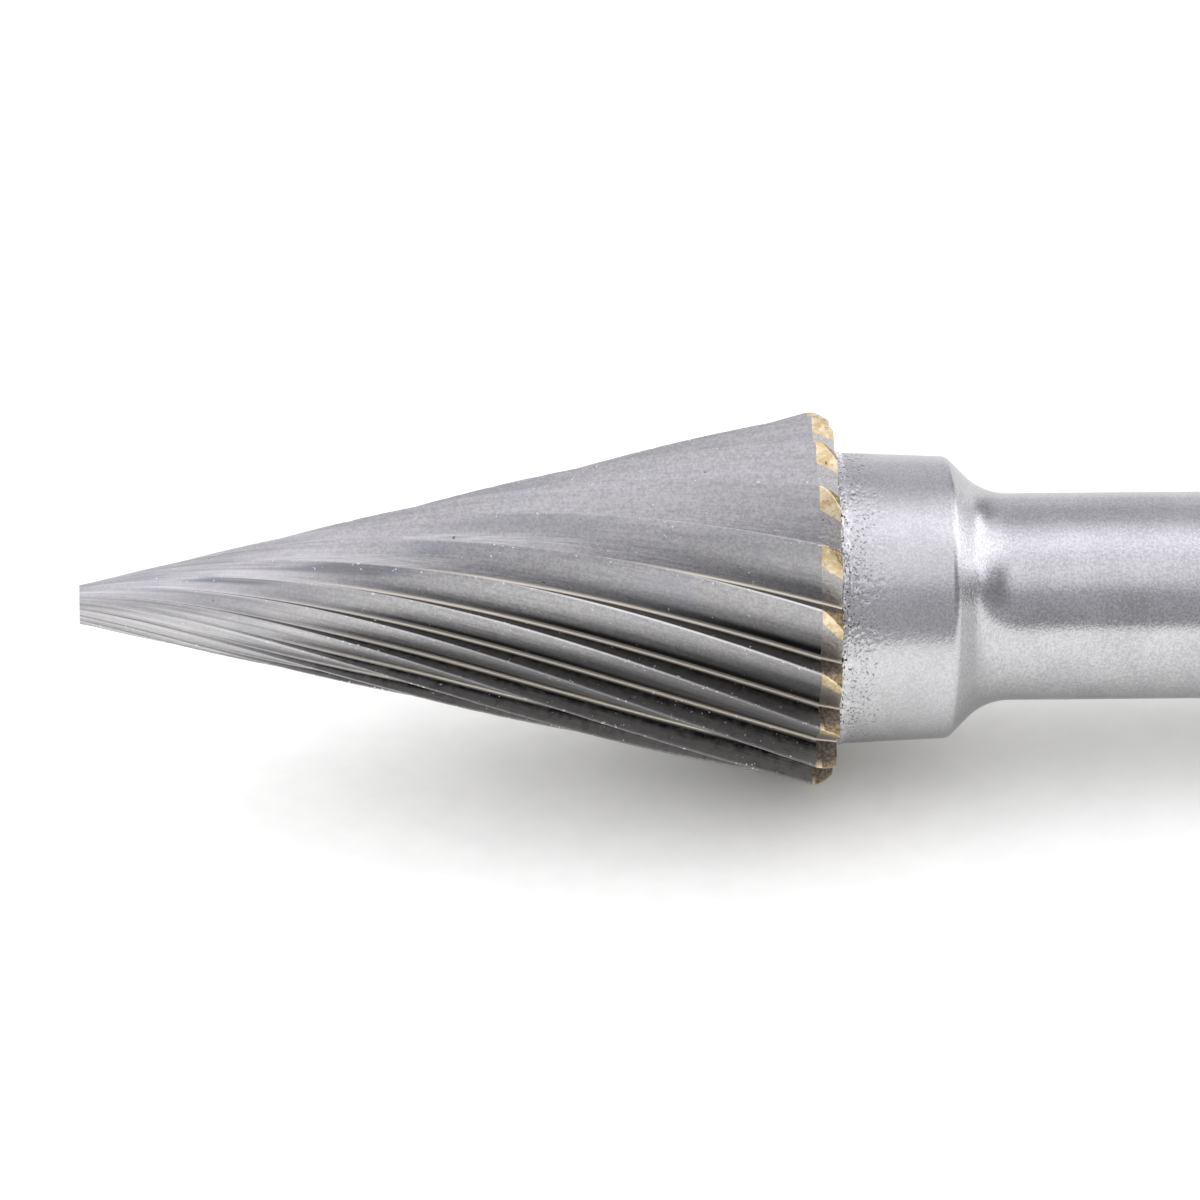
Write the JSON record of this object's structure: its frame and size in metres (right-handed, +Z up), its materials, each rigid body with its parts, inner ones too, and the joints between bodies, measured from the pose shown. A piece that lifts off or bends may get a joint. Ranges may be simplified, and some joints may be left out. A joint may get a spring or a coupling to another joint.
{
  "type": "rotary burr",
  "caption": "Cone-shaped rotary burr: spirally fluted carbide head soldered to a collared steel shank, clamped by its shank in a die grinder to deburr and shape metal.",
  "frame": {"origin": "centre of the shank's flat rear end face, on the burr's axis", "axes": "+X along the burr's axis, out of the shank's rear end, so the tip points to -X; +Z up in the picture's resting position; +Y away from the picture's viewer"},
  "size_m": [0.0667, 0.0108, 0.0108],
  "materials": {
    "carbide": "ground cemented carbide, grinding marks along the flutes",
    "braze": "pale gold on the lands, duller where the flutes are ground through",
    "solder": "bright lumpy silver solder",
    "steel": "satin turned and blasted steel"
  },
  "bodies": {
    "root": {"carbide_head": "carbide", "braze_shim": "braze", "solder_fillet": "solder", "steel_shank": "steel"}
  },
  "joints": []
}
